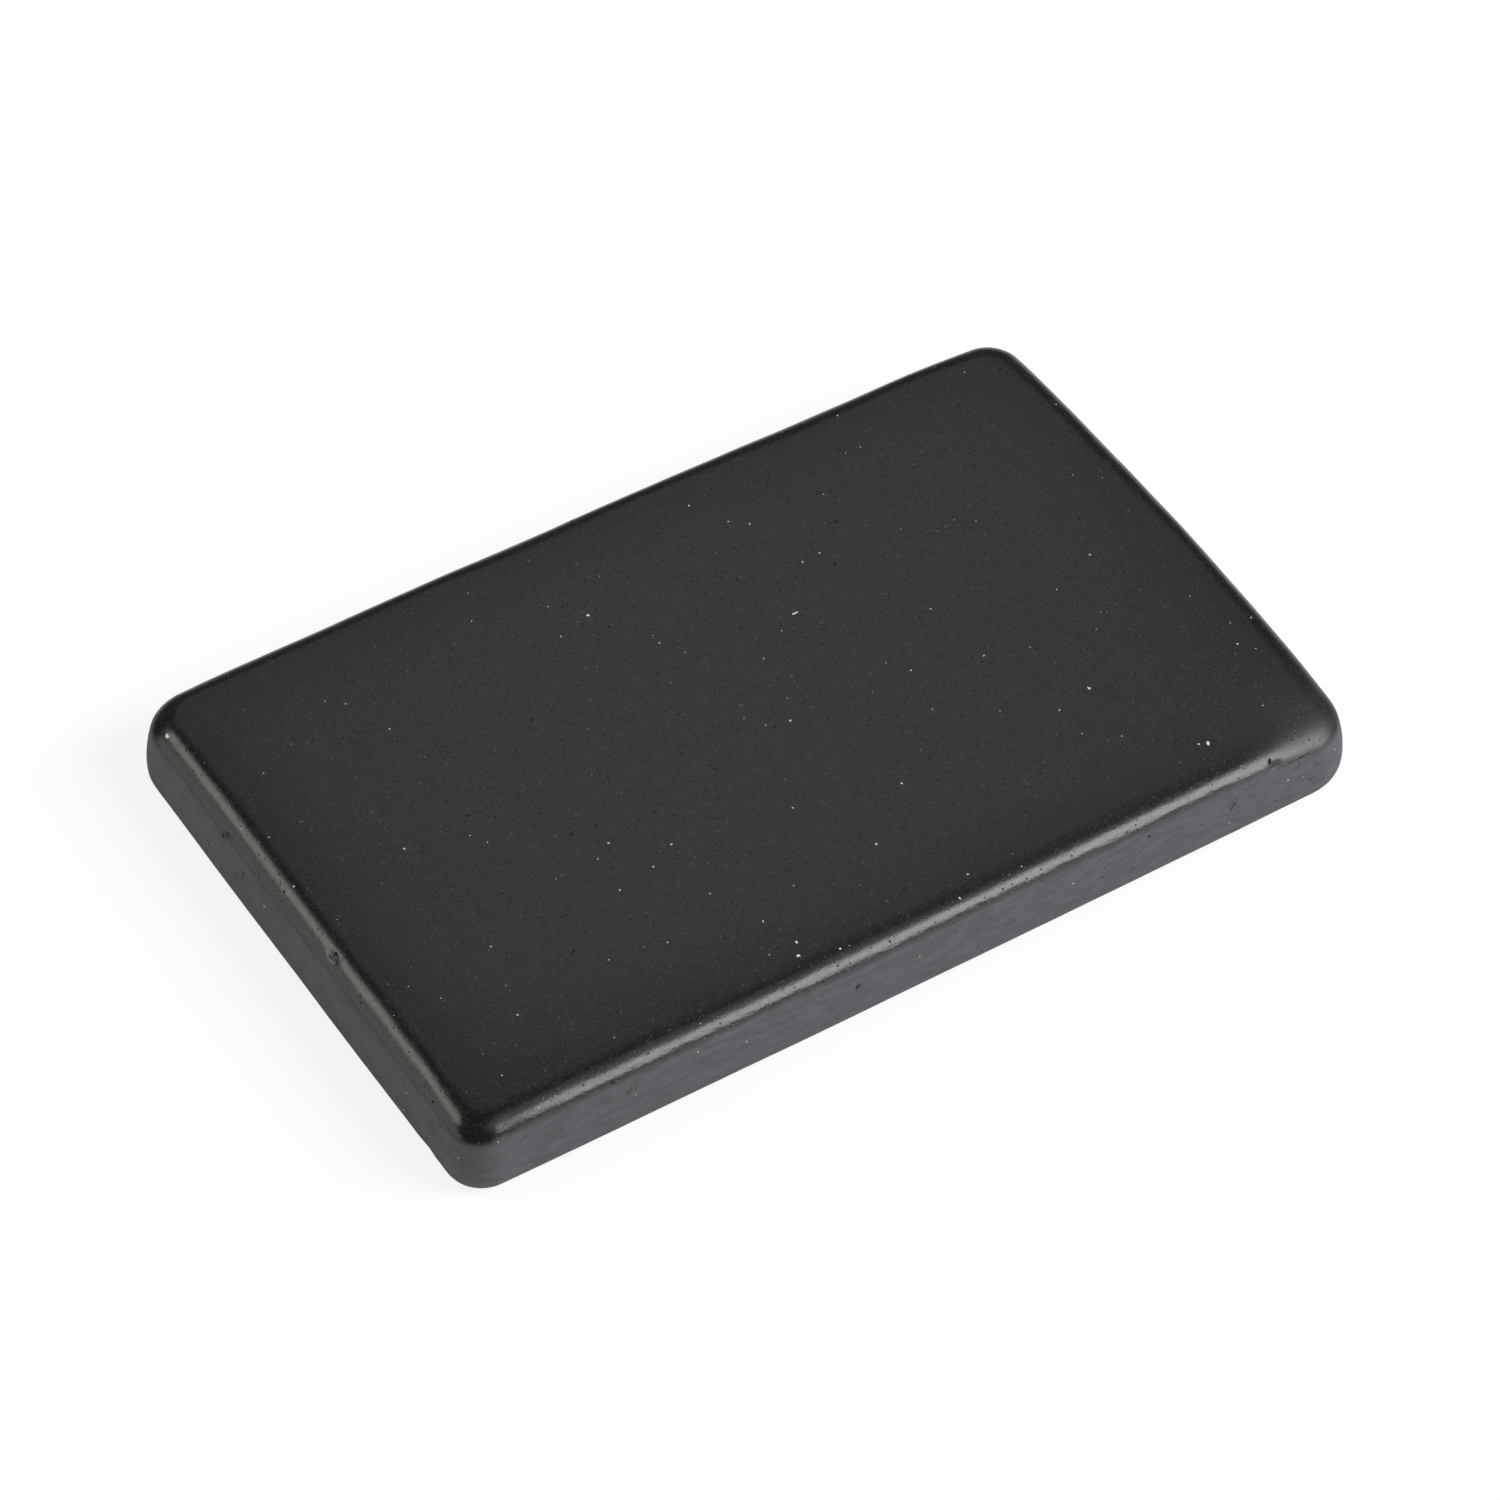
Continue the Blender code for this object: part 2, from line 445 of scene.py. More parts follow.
@dataclass(frozen=True)
class HonedBasalt:
    """Dense black basalt, sawn, ground and honed: nearly black, with a low even sheen.

    The honed face gives soft, dark reflections. The ground sides are rougher and carry grey dust, so
    they look lighter and flatter than the face, and the honed brow between them shows bright lines.
    """

    # The rock's own grain is under a tenth of a millimetre. Its dust, pores and grain are drawn two or
    # three times as coarse, so that they show.
    groundmass: str = "121213"
    dusty: str = "605f63"
    # Pale tint of the dust specks, the crystals and the painted glints.
    pale_speck_and_glint: str = "efece6"
    face_roughness: float = 0.23
    side_roughness: float = 0.6
    refraction: float = 1.55
    rough_from: Span = (0.3, 0.6)
    dusty_from: Span = (0.3, 0.65)
    streaked_from: Span = (0.05, 0.35)
    worn_dust: float = 0.35
    worn_roughness: float = 0.35
    cloudy: Span = (0.3, 0.7)
    filmed: Span = (0.45, 0.75)
    uneven_size: float = 0.7 * MM
    uneven_roughness: float = 0.14
    ragged_size: float = 0.2 * MM
    ragged_reach: float = 0.3 * MM
    cloud_size: float = 0.8 * MM
    cloud_slant: float = 0.5
    cloud_stretch: float = 0.3
    cloud_greys: Span = (0.65, 0.91)
    film_size: float = 0.35 * MM
    film_share: float = 0.018
    dust_share: float = 0.13
    grain_size: float = 0.25 * MM
    grain_depth: float = 0.01 * MM
    streak_size: float = 0.6 * MM
    streak_stretch: float = 0.25
    streak_depth: float = 0.045 * MM
    hollow_depth: float = 0.05 * MM
    pore_share: float = 0.7
    nick_shade_share: float = 0.5
    shard_turn: Place = (0.3, 0.2, 0.6)
    shard_squeeze: Place = (1.0, 0.45, 1.0)
    dust: Spots = Spots(0.8 * MM, 0.05 * MM, 0.14 * MM, 0.5, 0.8)
    crystals_and_glints: Spots = Spots(1.9 * MM, 0.05 * MM, 0.14 * MM, 0.6, 0.4)
    shards_and_glints: Spots = Spots(2.6 * MM, 0.06 * MM, 0.13 * MM, 0.5, 0.4)
    pores: Spots = Spots(0.6 * MM, 0.06 * MM, 0.15 * MM, 0.8, 0.7)
    pits: Spots = Spots(2.6 * MM, 0.1 * MM, 0.26 * MM, 0.6)
    # Pale flecks at listed places, drawn bright in the colour: partly crystals, partly painted glints.
    flecks_and_glints: tuple[Fleck, ...] = (
        Fleck((11.2 * MM, 8.9 * MM, 10.0 * MM), (1, 0.1, 0), 0.8 * MM, 0.28 * MM),
        Fleck((37.8 * MM, -29.0 * MM, 9.8 * MM), (0.5, 0.9, 0), 0.7 * MM, 0.3 * MM),
        Fleck((-12.9 * MM, -29.5 * MM, 9.8 * MM), (0.3, 0.9, 0), 0.42 * MM, 0.32 * MM),
        Fleck((-13.7 * MM, -31.1 * MM, 9.7 * MM), (0.9, 0.3, 0), 0.46 * MM, 0.34 * MM),
        Fleck((-40.3 * MM, 1.8 * MM, 9.95 * MM), (1, 0, 0), 0.36 * MM, 0.26 * MM),
        Fleck((-7.5 * MM, 20.0 * MM, 9.95 * MM), (0, 1, 0), 0.42 * MM, 0.26 * MM),
        Fleck((-53.0 * MM, 28.9 * MM, 8.95 * MM), (0, 1, 0), 0.7 * MM, 0.5 * MM),
    )
    # Dark marks at listed places: nicks and pits whose colour turns near black as painted shade.
    shaded_hollows: tuple[Fleck, ...] = (
        Fleck((-9.0 * MM, -35.0 * MM, 5.9 * MM), (1, 0, 0.9), 1.1 * MM, 0.36 * MM),
        Fleck((37.4 * MM, -34.8 * MM, 6.0 * MM), (0.8, 0, 0.6), 1.5 * MM, 0.24 * MM),
        Fleck((42.5 * MM, -33.5 * MM, 8.5 * MM), (0.6, 0.3, 1), 1.0 * MM, 0.42 * MM),
        # Painted shadow: a thin dark line along the lower border of the worn corner's highlight, right of
        # the nick.
        Fleck((45.2 * MM, -34.0 * MM, 7.6 * MM), (1, 0, -0.04), 5.0 * MM, 0.26 * MM),
        Fleck((-52.8 * MM, -6.2 * MM, 9.1 * MM), (0, 1, 0.2), 0.6 * MM, 0.5 * MM),
        Fleck((-54.3 * MM, 14.8 * MM, 7.9 * MM), (0, 0.3, 1), 1.0 * MM, 0.3 * MM),
        Fleck((-54.7 * MM, 10.0 * MM, 6.3 * MM), (0, 1, 0.4), 0.5 * MM, 0.34 * MM),
        Fleck((-54.7 * MM, 11.2 * MM, 5.6 * MM), (0, 1, -0.6), 0.6 * MM, 0.3 * MM),
        Fleck((-54.9 * MM, -27.6 * MM, 3.6 * MM), (0, 1, 0.3), 0.5 * MM, 0.3 * MM),
        Fleck((-54.9 * MM, -28.5 * MM, 2.8 * MM), (0, 1, -0.2), 0.4 * MM, 0.3 * MM),
    )

    def material(self) -> bpy.types.Material:
        """Build the material: pale crystals and painted glints, dust, and pores and nicks darkened with
        painted shade in near-black rock, and its honed sheen.

        Returns:
            The material, named for the real one.
        """
        material = bpy.data.materials.new("honed_basalt")
        material.use_nodes = True
        tree = material.node_tree
        shader = tree.nodes["Principled BSDF"]
        place = add_node(tree, "TexCoord", [], "Object")
        steep, knock, worn = (
            add_node(tree, "Attribute", [], "Fac", attribute_name=layer.value)
            for layer in (Layer.STEEPNESS, Layer.KNOCK, Layer.WORN)
        )
        ragged = self.ragged(tree, place)
        # Shards, pale crystals drawn bright as painted glints, are longer than broad, and all lie one way.
        links = {"Vector": ragged, "Rotation": self.shard_turn, "Scale": self.shard_squeeze}
        skewed = add_node(tree, "Mapping", links)
        crystals_and_glints = self.crystals_and_glints.mask(tree, ragged)
        flecks_and_glints = [fleck.mask(tree, ragged) for fleck in self.flecks_and_glints]
        for mask in (self.shards_and_glints.mask(tree, skewed), *flecks_and_glints):
            crystals_and_glints = add_node(tree, "Math", [crystals_and_glints, mask], operation="MAXIMUM")
        pores = self.pores.mask(tree, ragged)
        hollow = add_node(tree, "Math", [pores, self.pore_share], operation="MULTIPLY")
        marks = [mark.mask(tree, ragged) for mark in self.shaded_hollows]
        for mask in (self.pits.mask(tree, ragged), *marks):
            hollow = add_node(tree, "Math", [hollow, mask], operation="MAXIMUM")
        # Painted shade: pores, pits, nicks and the dark marks turn the colour to the bare groundmass, as
        # shade in a hollow would; they also turn rougher.
        nick_shade = add_node(tree, "Math", [knock, self.nick_shade_share], operation="MULTIPLY")
        shade = add_node(tree, "Math", [hollow, nick_shade], operation="MAXIMUM")
        colour = self.colour(tree, place, steep, worn, self.dust.mask(tree, ragged), crystals_and_glints)
        links = {0: shade, 6: colour, 7: linear(self.groundmass)}
        rough = self.roughness(tree, place, steep, worn)
        ends = {
            "Base Color": add_node(tree, "Mix", links, 2, **BLEND),
            "Roughness": add_node(tree, "Math", [rough, shade], operation="MAXIMUM"),
            "Normal": self.grain(tree, place, steep, hollow),
        }
        for name, socket in ends.items():
            tree.links.new(socket, shader.inputs[name])
        shader.inputs["IOR"].default_value = self.refraction
        return material

    def ragged(self, tree: Tree, place: Socket) -> Socket:
        """Shift the coordinates a little to and fro, so that spots come out ragged.

        Args:
            tree: The node tree.
            place: Coordinates in metres.

        Returns:
            The shifted coordinates' socket.
        """
        links = {"Vector": place, "Scale": 1 / self.ragged_size, "Detail": 1.0}
        noise = add_node(tree, "TexNoise", links, "Color")
        swing = add_node(tree, "VectorMath", [noise, (0.5,) * 3], operation="SUBTRACT")
        shift = [swing, (self.ragged_reach,) * 3, place]
        return add_node(tree, "VectorMath", shift, operation="MULTIPLY_ADD")

    def colour(
        self, tree: Tree, place: Socket, steep: Socket, worn: Socket, dust: Socket, crystals_and_glints: Socket
    ) -> Socket:
        """Colour of the rock: near black, dusty on the ground sides, with pale dust, and pale crystals that
        are also painted glints.

        Args:
            tree: The node tree.
            place: Coordinates in metres.
            steep: Steepness of the surface, from 0 on the faces to 1 on the sides.
            worn: How worn the surface is, from 0 to 1.
            dust: Mask of the dust specks.
            crystals_and_glints: Mask of the crystals and of the painted glints.

        Returns:
            The colour's socket.
        """
        stretch = (self.cloud_stretch, self.cloud_stretch, 1.0)
        links = {"Vector": place, "Rotation": (0.0, self.cloud_slant, 0.0), "Scale": stretch}
        slanted = add_node(tree, "Mapping", links)
        links = {"Vector": slanted, "Scale": 1 / self.cloud_size, "Detail": 5.0}
        noise = add_node(tree, "TexNoise", links)
        cloud = add_node(tree, "MapRange", [noise, *self.cloudy, *self.cloud_greys], **SMOOTH)
        ground = add_node(tree, "MapRange", [steep, *self.dusty_from, 0.0, 1.0], **SMOOTH)
        dusted = add_node(tree, "Math", [ground, cloud], operation="MULTIPLY")
        dulled = add_node(tree, "Math", [worn, self.worn_dust], operation="MULTIPLY")
        grey = add_node(tree, "Math", [dusted, dulled], operation="MAXIMUM")
        links = {"Vector": place, "Scale": 1 / self.film_size, "Detail": 5.0}
        noise = add_node(tree, "TexNoise", links)
        film = add_node(tree, "MapRange", [noise, *self.filmed, 0.0, self.film_share], **SMOOTH)
        faint = add_node(tree, "Math", [dust, self.dust_share, film], operation="MULTIPLY_ADD")
        base = linear(self.groundmass)
        for share, tint in ((grey, self.dusty), (faint, self.pale_speck_and_glint), (crystals_and_glints, self.pale_speck_and_glint)):
            base = add_node(tree, "Mix", {0: share, 6: base, 7: linear(tint)}, 2, **BLEND)
        return base

    def roughness(self, tree: Tree, place: Socket, steep: Socket, worn: Socket) -> Socket:
        """Roughness: honed faces, ground sides and a duller worn corner, each a little uneven.

        Args:
            tree: The node tree.
            place: Coordinates in metres.
            steep: Steepness of the surface, from 0 on the faces to 1 on the sides.
            worn: How worn the surface is, from 0 to 1.

        Returns:
            The roughness's socket.
        """
        ends = (self.face_roughness, self.side_roughness)
        rough = add_node(tree, "MapRange", [steep, *self.rough_from, *ends], **SMOOTH)
        links = {"Vector": place, "Scale": 1 / self.uneven_size, "Detail": 4.0}
        noise = add_node(tree, "TexNoise", links)
        swing = [noise, self.uneven_roughness, -self.uneven_roughness / 2]
        uneven = add_node(tree, "Math", swing, operation="MULTIPLY_ADD")
        total = add_node(tree, "Math", [rough, uneven], operation="ADD")
        return add_node(tree, "Math", [worn, self.worn_roughness, total], operation="MULTIPLY_ADD")

    def grain(self, tree: Tree, place: Socket, steep: Socket, hollow: Socket) -> Socket:
        """The surface's fine relief: grain all over, streaks that run along the sides, and the hollows.

        Args:
            tree: The node tree.
            place: Coordinates in metres.
            steep: Steepness of the surface, from 0 on the faces to 1 on the sides.
            hollow: Mask of the pores and pits.

        Returns:
            The normal's socket.
        """
        links = {"Vector": place, "Scale": 1 / self.grain_size, "Detail": 1.0}
        fine = add_node(tree, "TexNoise", links)
        links = {"Height": fine, "Distance": self.grain_depth, "Strength": 1.0}
        grained = add_node(tree, "Bump", links)
        links = {"Vector": place, "Scale": (self.streak_stretch, self.streak_stretch, 1.0)}
        stretched = add_node(tree, "Mapping", links)
        links = {"Vector": stretched, "Scale": 1 / self.streak_size, "Detail": 3.0}
        noise = add_node(tree, "TexNoise", links)
        edges = add_node(tree, "MapRange", [steep, *self.streaked_from, 0.0, 1.0], **SMOOTH)
        streaks = add_node(tree, "Math", [noise, edges], operation="MULTIPLY")
        links = {"Height": streaks, "Distance": self.streak_depth, "Strength": 1.0, "Normal": grained}
        streaked = add_node(tree, "Bump", links)
        links = {"Height": hollow, "Distance": self.hollow_depth, "Strength": 1.0, "Normal": streaked}
        return add_node(tree, "Bump", links, invert=True)


@dataclass(frozen=True)
class StudioPaper:
    """Matt white paper, lit a little from below so that shadows stay faint.

    It shows almost white, but it throws less light on the stone, as if dark flags stood round it: from
    near the stone outwards, its light on the stone fades.
    """

    colour: str = "808080"
    beside: str = "ececec"
    beyond: str = "606060"
    fade: Span = (12 * MM, 60 * MM)
    around: Span = (55 * MM, 35 * MM)
    glow: float = 0.84
    roughness: float = 0.9

    def material(self) -> bpy.types.Material:
        """Build the material: white paper to the eye and greyer paper to the stone.

        Returns:
            The material.
        """
        material = bpy.data.materials.new("studio_paper")
        material.use_nodes = True
        tree = material.node_tree
        white = tree.nodes["Principled BSDF"]
        white.inputs["Base Color"].default_value = linear(self.colour)
        white.inputs["Roughness"].default_value = self.roughness
        white.inputs["Specular IOR Level"].default_value = 0.0
        white.inputs["Emission Color"].default_value = (1, 1, 1, 1)
        white.inputs["Emission Strength"].default_value = self.glow
        place = add_node(tree, "TexCoord", [], "Object")
        split = add_node(tree, "SeparateXYZ", [place]).node
        # Painted shade: the stone sees this paper light grey beside it and darker grey further out, as if
        # dark flags stood round it.
        gaps = []
        for axis, half in enumerate(self.around):
            offset = add_node(tree, "Math", [split.outputs[axis]], operation="ABSOLUTE")
            gaps.append(add_node(tree, "Math", [offset, half], operation="SUBTRACT"))
        away = add_node(tree, "Math", gaps, operation="MAXIMUM")
        share = add_node(tree, "MapRange", [away, *self.fade, 0.0, 1.0], **SMOOTH)
        links = {0: share, 6: linear(self.beside), 7: linear(self.beyond)}
        painted_shade_grey = add_node(tree, "Mix", links, 2, **BLEND)
        grey = add_node(tree, "BsdfDiffuse", {"Color": painted_shade_grey})
        seen = add_node(tree, "LightPath", [], "Is Camera Ray")
        mix = add_node(tree, "MixShader", [seen, grey, white.outputs[0]])
        tree.links.new(mix, tree.nodes["Material Output"].inputs["Surface"])
        return material


@dataclass(frozen=True)
class Relief:
    """How the hand-finished surface departs from its true shape, always inwards."""

    skin: float = 0.03 * MM
    worn_centre: Place = (49 * MM, -33 * MM, 9.2 * MM)
    worn_radius: float = 7 * MM
    worn_share: float = 0.5
    flat_height: float = 2 * MM
    waves: int = 14
    sways: tuple[Span, ...] = (
        (26 * MM, 0.016 * MM),
        (9 * MM, 0.005 * MM),
        (2.8 * MM, 0.0016 * MM),
    )
    side_sways: tuple[Span, ...] = ((7 * MM, 0.012 * MM), (2.2 * MM, 0.005 * MM))
    nicks: tuple[Nick, ...] = (
        Nick((42.9 * MM, -34.1 * MM, 8.0 * MM), (1, 0, 0.6), 0.7 * MM, 0.4 * MM, 0.24 * MM),
        Nick((-53.2 * MM, -6.2 * MM, 8.9 * MM), (0, 1, 0), 0.7 * MM, 0.35 * MM, 0.2 * MM),
        Nick((-9.0 * MM, -35.0 * MM, 5.9 * MM), (1, 0, 0.9), 0.4 * MM, 0.24 * MM, 0.15 * MM),
        Nick((37.2 * MM, -35.2 * MM, 6.6 * MM), (0.8, 0, 1), 0.9 * MM, 0.25 * MM, 0.15 * MM),
        Nick((-54.2 * MM, 14.5 * MM, 8.1 * MM), (0, 0.2, 1), 0.5 * MM, 0.3 * MM, 0.25 * MM),
        Nick((-54.6 * MM, -27.6 * MM, 1.9 * MM), (0, 1, 0.4), 0.7 * MM, 0.5 * MM, 0.3 * MM),
        Nick((-54.7 * MM, -26.0 * MM, 2.3 * MM), (0, 1, -0.5), 0.5 * MM, 0.4 * MM, 0.22 * MM),
        Nick((-24.3 * MM, 7.3 * MM, 10.0 * MM), (1, 0.4, 0), 0.8 * MM, 0.5 * MM, 0.05 * MM),
        Nick((-39.8 * MM, 7.9 * MM, 10.0 * MM), (1, 0.8, 0), 1.0 * MM, 0.4 * MM, 0.05 * MM),
    )

    def depth(self, places: np.ndarray, steepness: np.ndarray, rng: np.random.Generator) -> np.ndarray:
        """How far in the surface lies at each point: skin + sways + steepness x side sways + nicks.

        It fades out below the flat height, so that the underside lies flat.

        Args:
            places: Points of the true shape.
            steepness: From 0 where the surface lies flat to 1 where it stands upright.
            rng: Seeded source of the sways.

        Returns:
            Depth, never below zero.
        """
        depth = np.full(len(places), self.skin)
        for wavelength, height in self.sways:
            depth += height * plane_waves(places, wavelength, self.waves, rng)
        for wavelength, height in self.side_sways:
            depth += steepness * height * plane_waves(places, wavelength, self.waves, rng)
        depth = np.clip(depth, 0, None) + self.knocks(places)
        return depth * np.clip(places[:, 2] / self.flat_height, 0, 1)

    def worn(self, places: np.ndarray) -> np.ndarray:
        """How dull and dusty each point is, from 0 to 1: a bell over the worn corner."""
        gap = np.linalg.norm(places - np.array(self.worn_centre), axis=-1)
        return self.worn_share * np.exp(-((gap / self.worn_radius) ** 2))

    def knocks(self, places: np.ndarray) -> np.ndarray:
        """Depth of all the nicks together at each point."""
        return sum((nick.dip(places) for nick in self.nicks), np.zeros(len(places)))


@dataclass
class MassageStone:
    """The stone as one closed surface: a fine upper grid, rings down the side and a coarse lower grid."""

    outline: PlanOutline = field(default_factory=PlanOutline)
    section: EdgeSection = field(default_factory=EdgeSection)
    relief: Relief = field(default_factory=Relief)
    finish: HonedBasalt = field(default_factory=HonedBasalt)
    cells_long: int = 240
    cells_wide: int = 152
    edge_rings: int = 34
    shoulder_rings: int = 8
    side_rings: int = 1
    under_rings: int = 9
    sole_count: int = 5
    face_inset: float = 7.0 * MM
    edge_sway: float = 0.06
    edge_waves: int = 8
    long_wave: float = 31 * MM
    short_wave: float = 9 * MM
    corner_reach: float = 1.6
    full_knock: float = 0.2 * MM
    seed: int = 11

    def perimeter(self, inset: np.ndarray) -> np.ndarray:
        """Carry the outline round all four sides, centred on the full outline's box.

        Args:
            inset: Inset of each point, as rings by points round the stone.

        Returns:
            Plan points, shaped as inset is, with x and y.
        """
        full = self.run_round(np.zeros((1, inset.shape[1])))[0]
        centre = (full.min(axis=0) + full.max(axis=0)) / 2
        return self.run_round(inset) - centre

    def run_round(self, inset: np.ndarray) -> np.ndarray:
        """Points of the outline at each inset, side by side.

        Args:
            inset: Inset of each point, as rings by points round the stone.

        Returns:
            Plan points, shaped as inset is, with x and y.
        """
        around = inset.shape[1]
        long = around * self.cells_long // (2 * (self.cells_long + self.cells_wide))
        counts = (long, around // 2 - long, long, around // 2 - long)
        stretches = []
        start = 0
        for side, count in zip(Side, counts):
            part = inset[:, start : start + count]
            share = np.broadcast_to(np.arange(count) / count, part.shape)
            stretches.append(self.outline.quarter(side, share, part))
            start += count
        return np.concatenate(stretches, axis=1)

    def edge_wear(self) -> np.ndarray:
        """Wear at each point round the stone: a bell at each corner, and a slight sway between.

        Returns:
            Wear for each point of a ring, near 0 on the sides and up to 1 at a corner.
        """
        counts = (self.cells_long, self.cells_wide, self.cells_long, self.cells_wide)
        ring = self.perimeter(np.zeros((1, sum(counts))))[0]
        rng = np.random.default_rng(self.seed + 1)
        flat = np.pad(ring, ((0, 0), (0, 1)))
        slow = plane_waves(flat, self.long_wave, self.edge_waves, rng)
        quick = plane_waves(flat, self.short_wave, self.edge_waves, rng)
        wear = self.edge_sway * (slow + quick / 3)
        start = 0
        for corner, count in zip(self.outline.corners, counts):
            gap = np.linalg.norm(ring - ring[start], axis=-1)
            wear += corner.wear * np.exp(-((gap / (self.corner_reach * corner.radius)) ** 2))
            start += count
        return wear

    def lift(self, inset: np.ndarray, depth: np.ndarray) -> np.ndarray:
        """Turn insets into points at a depth below the crowned face.

        Args:
            inset: Inset of each point, as rings by points round the stone.
            depth: Depth below the crowned face, shaped to match.

        Returns:
            Points with x, y and z.
        """
        plan = self.perimeter(inset)
        half = (self.outline.length / 2, self.outline.width / 2)
        height = self.section.crowned_height(plan, half) - depth
        return np.concatenate([plan, height[..., None]], axis=-1)

    def upper_rings(self) -> np.ndarray:
        """Rings from the upper face's rim, out over the soft brow and down the side.

        Returns:
            Points as rings by points round the stone, with x, y and z.
        """
        wear = self.edge_wear()[None, :]
        ease, depth = self.section.upper(self.edge_rings, wear)
        share = np.linspace(0, 1, self.shoulder_rings + 1)[:-1, None]
        shoulder = self.face_inset + (ease[:1] - self.face_inset) * share
        level = np.zeros_like(shoulder)
        return self.lift(np.concatenate([shoulder, ease]), np.concatenate([level, depth]))

    def lower_rings(self, brim: np.ndarray) -> np.ndarray:
        """Rings from just under the bowed side's lowest ring, down and under to the flat underside.

        Args:
            brim: Height of that ring at each point round the stone.

        Returns:
            Points as rings by points round the stone, with x, y and z.
        """
        turn = np.linspace(math.pi / 2, 0, self.under_rings)[:, None]
        shape = (self.under_rings, len(brim))
        under, height = (np.broadcast_to(part, shape) for part in self.section.lower(turn))
        share = np.linspace(0, 1, self.side_rings + 2)[1:-1, None]
        side_height = brim + (height[:1] - brim) * share
        plan = self.perimeter(np.concatenate([np.zeros_like(side_height), under]))
        return np.concatenate([plan, np.concatenate([side_height, height])[..., None]], axis=-1)

    def sole_rings(self, around: int) -> np.ndarray:
        """Rings of the flat underside, in to the rim of its grid.

        Args:
            around: Points to a ring, half as many as higher up.

        Returns:
            Points as rings by points round the stone, with x, y and z.
        """
        inset = np.linspace(self.section.lower_radius, self.face_inset, self.sole_count + 1)[1:, None]
        plan = self.perimeter(np.broadcast_to(inset, (self.sole_count, around)))
        return np.pad(plan, ((0, 0), (0, 0), (0, 1)))

    def build(self) -> bpy.types.Object:
        """Build the stone's mesh and object.

        Returns:
            The finished piece.
        """
        long, wide = self.cells_long, self.cells_wide
        upper = self.upper_rings()
        rings = np.concatenate([upper, self.lower_rings(upper[-1, :, 2])])
        sole = self.sole_rings(long + wide)
        face = patch(rings[0], long, wide)
        half = (self.outline.length / 2, self.outline.width / 2)
        face[..., 2] = self.section.crowned_height(face, half)
        base = patch(sole[-1], long // 2, wide // 2)

        ring_ids = np.arange(rings[..., 0].size).reshape(rings.shape[:2])
        sole_ids = ring_ids.size + np.arange(sole[..., 0].size).reshape(sole.shape[:2])
        face_ids, following = grid_ids(ring_ids[0], long, wide, ring_ids.size + sole_ids.size)
        base_ids, total = grid_ids(sole_ids[-1], long // 2, wide // 2, following)
        places = np.zeros((total, 3))
        for ids, points in ((face_ids, face), (base_ids, base), (ring_ids, rings), (sole_ids, sole)):
            places[ids.ravel()] = points.reshape(-1, 3)
        quads = [band(ring_ids), band(sole_ids), sheet(face_ids), sheet(base_ids)[:, ::-1]]
        faces = np.concatenate(quads).tolist() + narrowing(ring_ids[-1], sole_ids[0]).tolist()

        mesh = bpy.data.meshes.new("massage_stone_skin")
        mesh.from_pydata(places.tolist(), [], faces)
        mesh.shade_smooth()
        self.wear_in(mesh, places)
        piece = bpy.data.objects.new("massage_stone_skin", mesh)
        bpy.context.scene.collection.objects.link(piece)
        mesh.materials.append(self.finish.material())
        return piece

    def wear_in(self, mesh: bpy.types.Mesh, places: np.ndarray) -> None:
        """Sink every point along its own normal by the relief's depth there, and note its state.

        Args:
            mesh: The stone's mesh.
            places: Its points.
        """
        normals = np.zeros(places.size, dtype=np.float32)
        mesh.vertex_normals.foreach_get("vector", normals)
        normals = normals.reshape(-1, 3)
        steepness = 1 - np.abs(normals[:, 2])
        depth = self.relief.depth(places, steepness, np.random.default_rng(self.seed))
        mesh.vertices.foreach_set("co", (places - normals * depth[:, None]).ravel())
        mesh.update()
        knock = np.clip(self.relief.knocks(places) / self.full_knock, 0, 1)
        layers = {Layer.STEEPNESS: steepness, Layer.KNOCK: knock, Layer.WORN: self.relief.worn(places)}
        for layer, values in layers.items():
            attribute = mesh.attributes.new(layer.value, "FLOAT", "POINT")
            attribute.data.foreach_set("value", values.astype(np.float32))


def patch(rim: np.ndarray, long: int, wide: int) -> np.ndarray:
    """Fill a closed rim with a grid: the sum of two ruled surfaces less the flat one of its corners.

    Args:
        rim: Points round the rim, from the front left corner along the front.
        long: Cells along the stone.
        wide: Cells across it.

    Returns:
        Points as wide + 1 rows of long + 1, with x, y and z.
    """
    front = rim[: long + 1]
    right = rim[long : long + wide + 1]
    back = rim[long + wide : 2 * long + wide + 1][::-1]
    left = np.concatenate([rim[2 * long + wide :], rim[:1]])[::-1]
    u = np.linspace(0, 1, long + 1)[None, :, None]
    v = np.linspace(0, 1, wide + 1)[:, None, None]
    ruled = (1 - v) * front[None] + v * back[None] + (1 - u) * left[:, None] + u * right[:, None]
    flat = (1 - u) * (1 - v) * front[0] + u * (1 - v) * front[-1] + u * v * back[-1] + (1 - u) * v * back[0]
    return ruled - flat


def band(ids: np.ndarray) -> np.ndarray:
    """Quads between neighbouring rings, closed round the stone, facing out."""
    ahead = np.roll(ids, -1, axis=1)
    return np.stack([ids[:-1], ids[1:], ahead[1:], ahead[:-1]], axis=-1).reshape(-1, 4)


def sheet(ids: np.ndarray) -> np.ndarray:
    """Quads of a grid, facing up."""
    return np.stack([ids[:-1, :-1], ids[:-1, 1:], ids[1:, 1:], ids[1:, :-1]], axis=-1).reshape(-1, 4)


